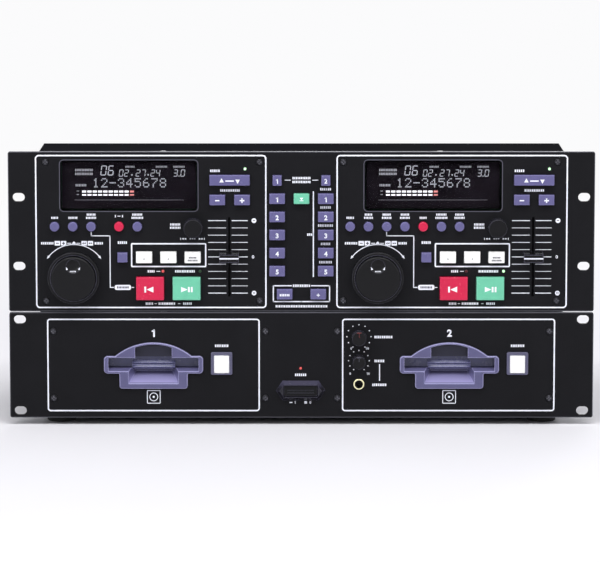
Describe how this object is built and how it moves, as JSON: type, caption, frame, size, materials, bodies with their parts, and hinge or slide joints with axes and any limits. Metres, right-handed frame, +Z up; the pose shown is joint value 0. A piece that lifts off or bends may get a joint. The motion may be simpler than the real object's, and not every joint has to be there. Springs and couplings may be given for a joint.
{
  "type": "minidisc recorder",
  "caption": "Rack-mount twin minidisc recorder: a drive unit with two front disc slots under a control unit with jog dials, faders and lit keys.",
  "frame": {"origin": "under the middle of the whole object, on the plane of the feet's soles", "axes": "+X to the right as seen from the front, +Y to the rear, +Z up"},
  "size_m": [0.4826, 0.2778, 0.2274],
  "materials": {
    "panel_black": "fine satin black paint",
    "case_black": "fine textured black paint",
    "bezel_violet": "satin moulded plastic",
    "door_blue": "satin moulded plastic",
    "key_violet": "satin moulded plastic",
    "key_red": "translucent satin plastic",
    "key_green": "translucent satin plastic",
    "key_white": "satin moulded plastic",
    "knob_black": "satin moulded plastic",
    "rubber_black": "matte rubber",
    "screw_black": "black oxide",
    "window_smoke": "smoked clear pane",
    "board_green": "lacquered circuit board",
    "lamp_clear": "tinted lamp lens",
    "jack_gold": "gold plated",
    "loader_steel": "plated sheet steel",
    "part_black": "moulded plastic"
  },
  "bodies": {
    "root": {"drive_front_panel": "panel_black", "control_front_panel": "panel_black", "drive_chassis": "case_black", "control_case": "case_black", "drive_top_cover": "case_black", "control_top_cover": "case_black", "slot_bezel_1": "bezel_violet", "slot_bezel_2": "bezel_violet", "eject_bezels": "bezel_violet", "rubber_feet": "rubber_black", "screws": "screw_black", "display_windows": "window_smoke", "control_board": "board_green", "drive_boards": "board_green", "status_lamps": "lamp_clear", "headphone_jack": "jack_gold", "loading_frame_1": "loader_steel", "loading_frame_2": "loader_steel", "optical_decks": "loader_steel", "power_bezel": "part_black", "jog_and_fader_units": "part_black", "rear_sockets": "part_black"},
    "function_keys_1": {"function_keys_1": "key_violet"},
    "record_button_1": {"record_button_1": "key_red"},
    "loop_button_1": {"loop_button_1": "key_violet"},
    "hot_start_keys_1": {"hot_start_keys_1": "key_white"},
    "cue_button_1": {"cue_button_1": "key_red"},
    "play_button_1": {"play_button_1": "key_green"},
    "pitch_button_1": {"pitch_button_1": "key_violet"},
    "pitch_bend_keys_1": {"pitch_bend_keys_1": "key_violet"},
    "function_keys_2": {"function_keys_2": "key_violet"},
    "record_button_2": {"record_button_2": "key_red"},
    "loop_button_2": {"loop_button_2": "key_violet"},
    "hot_start_keys_2": {"hot_start_keys_2": "key_white"},
    "cue_button_2": {"cue_button_2": "key_red"},
    "play_button_2": {"play_button_2": "key_green"},
    "pitch_button_2": {"pitch_button_2": "key_violet"},
    "pitch_bend_keys_2": {"pitch_bend_keys_2": "key_violet"},
    "preset_keys_left": {"preset_keys_left": "key_violet"},
    "preset_keys_right": {"preset_keys_right": "key_violet"},
    "deck_keys": {"deck_keys": "key_violet"},
    "load_button": {"load_button": "key_green"},
    "program_keys": {"program_keys": "key_violet"},
    "eject_button_1": {"eject_button_1": "key_white"},
    "eject_button_2": {"eject_button_2": "key_white"},
    "power_button": {"power_button": "knob_black"},
    "slot_door_1": {"slot_door_1": "door_blue"},
    "jog_dial_1": {"jog_dial_1": "knob_black"},
    "shuttle_ring_1": {"shuttle_ring_1": "knob_black"},
    "pitch_slider_1": {"pitch_slider_1": "knob_black"},
    "select_plunger_1": {"select_plunger_1": "loader_steel"},
    "select_knob_1": {"select_knob_1": "knob_black"},
    "slot_door_2": {"slot_door_2": "door_blue"},
    "jog_dial_2": {"jog_dial_2": "knob_black"},
    "shuttle_ring_2": {"shuttle_ring_2": "knob_black"},
    "pitch_slider_2": {"pitch_slider_2": "knob_black"},
    "select_plunger_2": {"select_plunger_2": "loader_steel"},
    "select_knob_2": {"select_knob_2": "knob_black"},
    "rec_level_knob": {"rec_level_knob": "knob_black"},
    "phones_level_knob": {"phones_level_knob": "knob_black"}
  },
  "joints": [
    {"name": "function_keys_1_press", "type": "slide", "parent": "root", "child": "function_keys_1", "axis": [0, 1, 0], "range_m": [0, 0.001], "stiffness_N_per_m": 400, "springref_m": -0.0005},
    {"name": "record_button_1_press", "type": "slide", "parent": "root", "child": "record_button_1", "axis": [0, 1, 0], "range_m": [0, 0.001], "stiffness_N_per_m": 400, "springref_m": -0.0005},
    {"name": "loop_button_1_press", "type": "slide", "parent": "root", "child": "loop_button_1", "axis": [0, 1, 0], "range_m": [0, 0.001], "stiffness_N_per_m": 400, "springref_m": -0.0005},
    {"name": "hot_start_keys_1_press", "type": "slide", "parent": "root", "child": "hot_start_keys_1", "axis": [0, 1, 0], "range_m": [0, 0.001], "stiffness_N_per_m": 400, "springref_m": -0.0005},
    {"name": "cue_button_1_press", "type": "slide", "parent": "root", "child": "cue_button_1", "axis": [0, 1, 0], "range_m": [0, 0.001], "stiffness_N_per_m": 400, "springref_m": -0.0005},
    {"name": "play_button_1_press", "type": "slide", "parent": "root", "child": "play_button_1", "axis": [0, 1, 0], "range_m": [0, 0.001], "stiffness_N_per_m": 400, "springref_m": -0.0005},
    {"name": "pitch_button_1_press", "type": "slide", "parent": "root", "child": "pitch_button_1", "axis": [0, 1, 0], "range_m": [0, 0.001], "stiffness_N_per_m": 400, "springref_m": -0.0005},
    {"name": "pitch_bend_keys_1_press", "type": "slide", "parent": "root", "child": "pitch_bend_keys_1", "axis": [0, 1, 0], "range_m": [0, 0.001], "stiffness_N_per_m": 400, "springref_m": -0.0005},
    {"name": "function_keys_2_press", "type": "slide", "parent": "root", "child": "function_keys_2", "axis": [0, 1, 0], "range_m": [0, 0.001], "stiffness_N_per_m": 400, "springref_m": -0.0005},
    {"name": "record_button_2_press", "type": "slide", "parent": "root", "child": "record_button_2", "axis": [0, 1, 0], "range_m": [0, 0.001], "stiffness_N_per_m": 400, "springref_m": -0.0005},
    {"name": "loop_button_2_press", "type": "slide", "parent": "root", "child": "loop_button_2", "axis": [0, 1, 0], "range_m": [0, 0.001], "stiffness_N_per_m": 400, "springref_m": -0.0005},
    {"name": "hot_start_keys_2_press", "type": "slide", "parent": "root", "child": "hot_start_keys_2", "axis": [0, 1, 0], "range_m": [0, 0.001], "stiffness_N_per_m": 400, "springref_m": -0.0005},
    {"name": "cue_button_2_press", "type": "slide", "parent": "root", "child": "cue_button_2", "axis": [0, 1, 0], "range_m": [0, 0.001], "stiffness_N_per_m": 400, "springref_m": -0.0005},
    {"name": "play_button_2_press", "type": "slide", "parent": "root", "child": "play_button_2", "axis": [0, 1, 0], "range_m": [0, 0.001], "stiffness_N_per_m": 400, "springref_m": -0.0005},
    {"name": "pitch_button_2_press", "type": "slide", "parent": "root", "child": "pitch_button_2", "axis": [0, 1, 0], "range_m": [0, 0.001], "stiffness_N_per_m": 400, "springref_m": -0.0005},
    {"name": "pitch_bend_keys_2_press", "type": "slide", "parent": "root", "child": "pitch_bend_keys_2", "axis": [0, 1, 0], "range_m": [0, 0.001], "stiffness_N_per_m": 400, "springref_m": -0.0005},
    {"name": "preset_keys_left_press", "type": "slide", "parent": "root", "child": "preset_keys_left", "axis": [0, 1, 0], "range_m": [0, 0.001], "stiffness_N_per_m": 400, "springref_m": -0.0005},
    {"name": "preset_keys_right_press", "type": "slide", "parent": "root", "child": "preset_keys_right", "axis": [0, 1, 0], "range_m": [0, 0.001], "stiffness_N_per_m": 400, "springref_m": -0.0005},
    {"name": "deck_keys_press", "type": "slide", "parent": "root", "child": "deck_keys", "axis": [0, 1, 0], "range_m": [0, 0.001], "stiffness_N_per_m": 400, "springref_m": -0.0005},
    {"name": "load_button_press", "type": "slide", "parent": "root", "child": "load_button", "axis": [0, 1, 0], "range_m": [0, 0.001], "stiffness_N_per_m": 400, "springref_m": -0.0005},
    {"name": "program_keys_press", "type": "slide", "parent": "root", "child": "program_keys", "axis": [0, 1, 0], "range_m": [0, 0.001], "stiffness_N_per_m": 400, "springref_m": -0.0005},
    {"name": "eject_button_1_press", "type": "slide", "parent": "root", "child": "eject_button_1", "axis": [0, 1, 0], "range_m": [0, 0.0015], "stiffness_N_per_m": 300, "springref_m": -0.0005},
    {"name": "eject_button_2_press", "type": "slide", "parent": "root", "child": "eject_button_2", "axis": [0, 1, 0], "range_m": [0, 0.0015], "stiffness_N_per_m": 300, "springref_m": -0.0005},
    {"name": "power_button_press", "type": "slide", "parent": "root", "child": "power_button", "axis": [0, 1, 0], "range_m": [0, 0.003], "stiffness_N_per_m": 400, "springref_m": -0.0005},
    {"name": "slot_door_1_swing", "type": "hinge", "parent": "root", "child": "slot_door_1", "pos_m": [-0.1223, -0.11385, 0.06125], "axis": [1, 0, 0], "range_deg": [0, 80], "stiffness_Nm_per_rad": 0.002, "springref_deg": -28.65},
    {"name": "jog_dial_1_spin", "type": "hinge", "parent": "root", "child": "jog_dial_1", "pos_m": [-0.1874, -0.1226, 0.12385], "axis": [0, 1, 0], "continuous": true},
    {"name": "shuttle_ring_1_turn", "type": "hinge", "parent": "root", "child": "shuttle_ring_1", "pos_m": [-0.1874, -0.1226, 0.12385], "axis": [0, 1, 0], "range_deg": [-60, 60], "stiffness_Nm_per_rad": 0.02},
    {"name": "pitch_slider_1_slide", "type": "slide", "parent": "root", "child": "pitch_slider_1", "axis": [0, 0, 1], "range_m": [-0.03, 0.03]},
    {"name": "select_plunger_1_press", "type": "slide", "parent": "root", "child": "select_plunger_1", "axis": [0, 1, 0], "range_m": [0, 0.0008], "stiffness_N_per_m": 600, "springref_m": -0.0005},
    {"name": "select_knob_1_spin", "type": "hinge", "parent": "select_plunger_1", "child": "select_knob_1", "pos_m": [-0.0891, -0.1226, 0.16505], "axis": [0, 1, 0], "continuous": true},
    {"name": "slot_door_2_swing", "type": "hinge", "parent": "root", "child": "slot_door_2", "pos_m": [0.1223, -0.11385, 0.06125], "axis": [1, 0, 0], "range_deg": [0, 80], "stiffness_Nm_per_rad": 0.002, "springref_deg": -28.65},
    {"name": "jog_dial_2_spin", "type": "hinge", "parent": "root", "child": "jog_dial_2", "pos_m": [0.0628, -0.1226, 0.12385], "axis": [0, 1, 0], "continuous": true},
    {"name": "shuttle_ring_2_turn", "type": "hinge", "parent": "root", "child": "shuttle_ring_2", "pos_m": [0.0628, -0.1226, 0.12385], "axis": [0, 1, 0], "range_deg": [-60, 60], "stiffness_Nm_per_rad": 0.02},
    {"name": "pitch_slider_2_slide", "type": "slide", "parent": "root", "child": "pitch_slider_2", "axis": [0, 0, 1], "range_m": [-0.03, 0.03]},
    {"name": "select_plunger_2_press", "type": "slide", "parent": "root", "child": "select_plunger_2", "axis": [0, 1, 0], "range_m": [0, 0.0008], "stiffness_N_per_m": 600, "springref_m": -0.0005},
    {"name": "select_knob_2_spin", "type": "hinge", "parent": "select_plunger_2", "child": "select_knob_2", "pos_m": [0.1611, -0.1226, 0.16505], "axis": [0, 1, 0], "continuous": true},
    {"name": "rec_level_knob_turn", "type": "hinge", "parent": "root", "child": "rec_level_knob", "pos_m": [0.0475, -0.1226, 0.07375], "axis": [0, 1, 0], "range_deg": [-150, 150]},
    {"name": "phones_level_knob_turn", "type": "hinge", "parent": "root", "child": "phones_level_knob", "pos_m": [0.0475, -0.1226, 0.05365], "axis": [0, 1, 0], "range_deg": [-150, 150]}
  ]
}
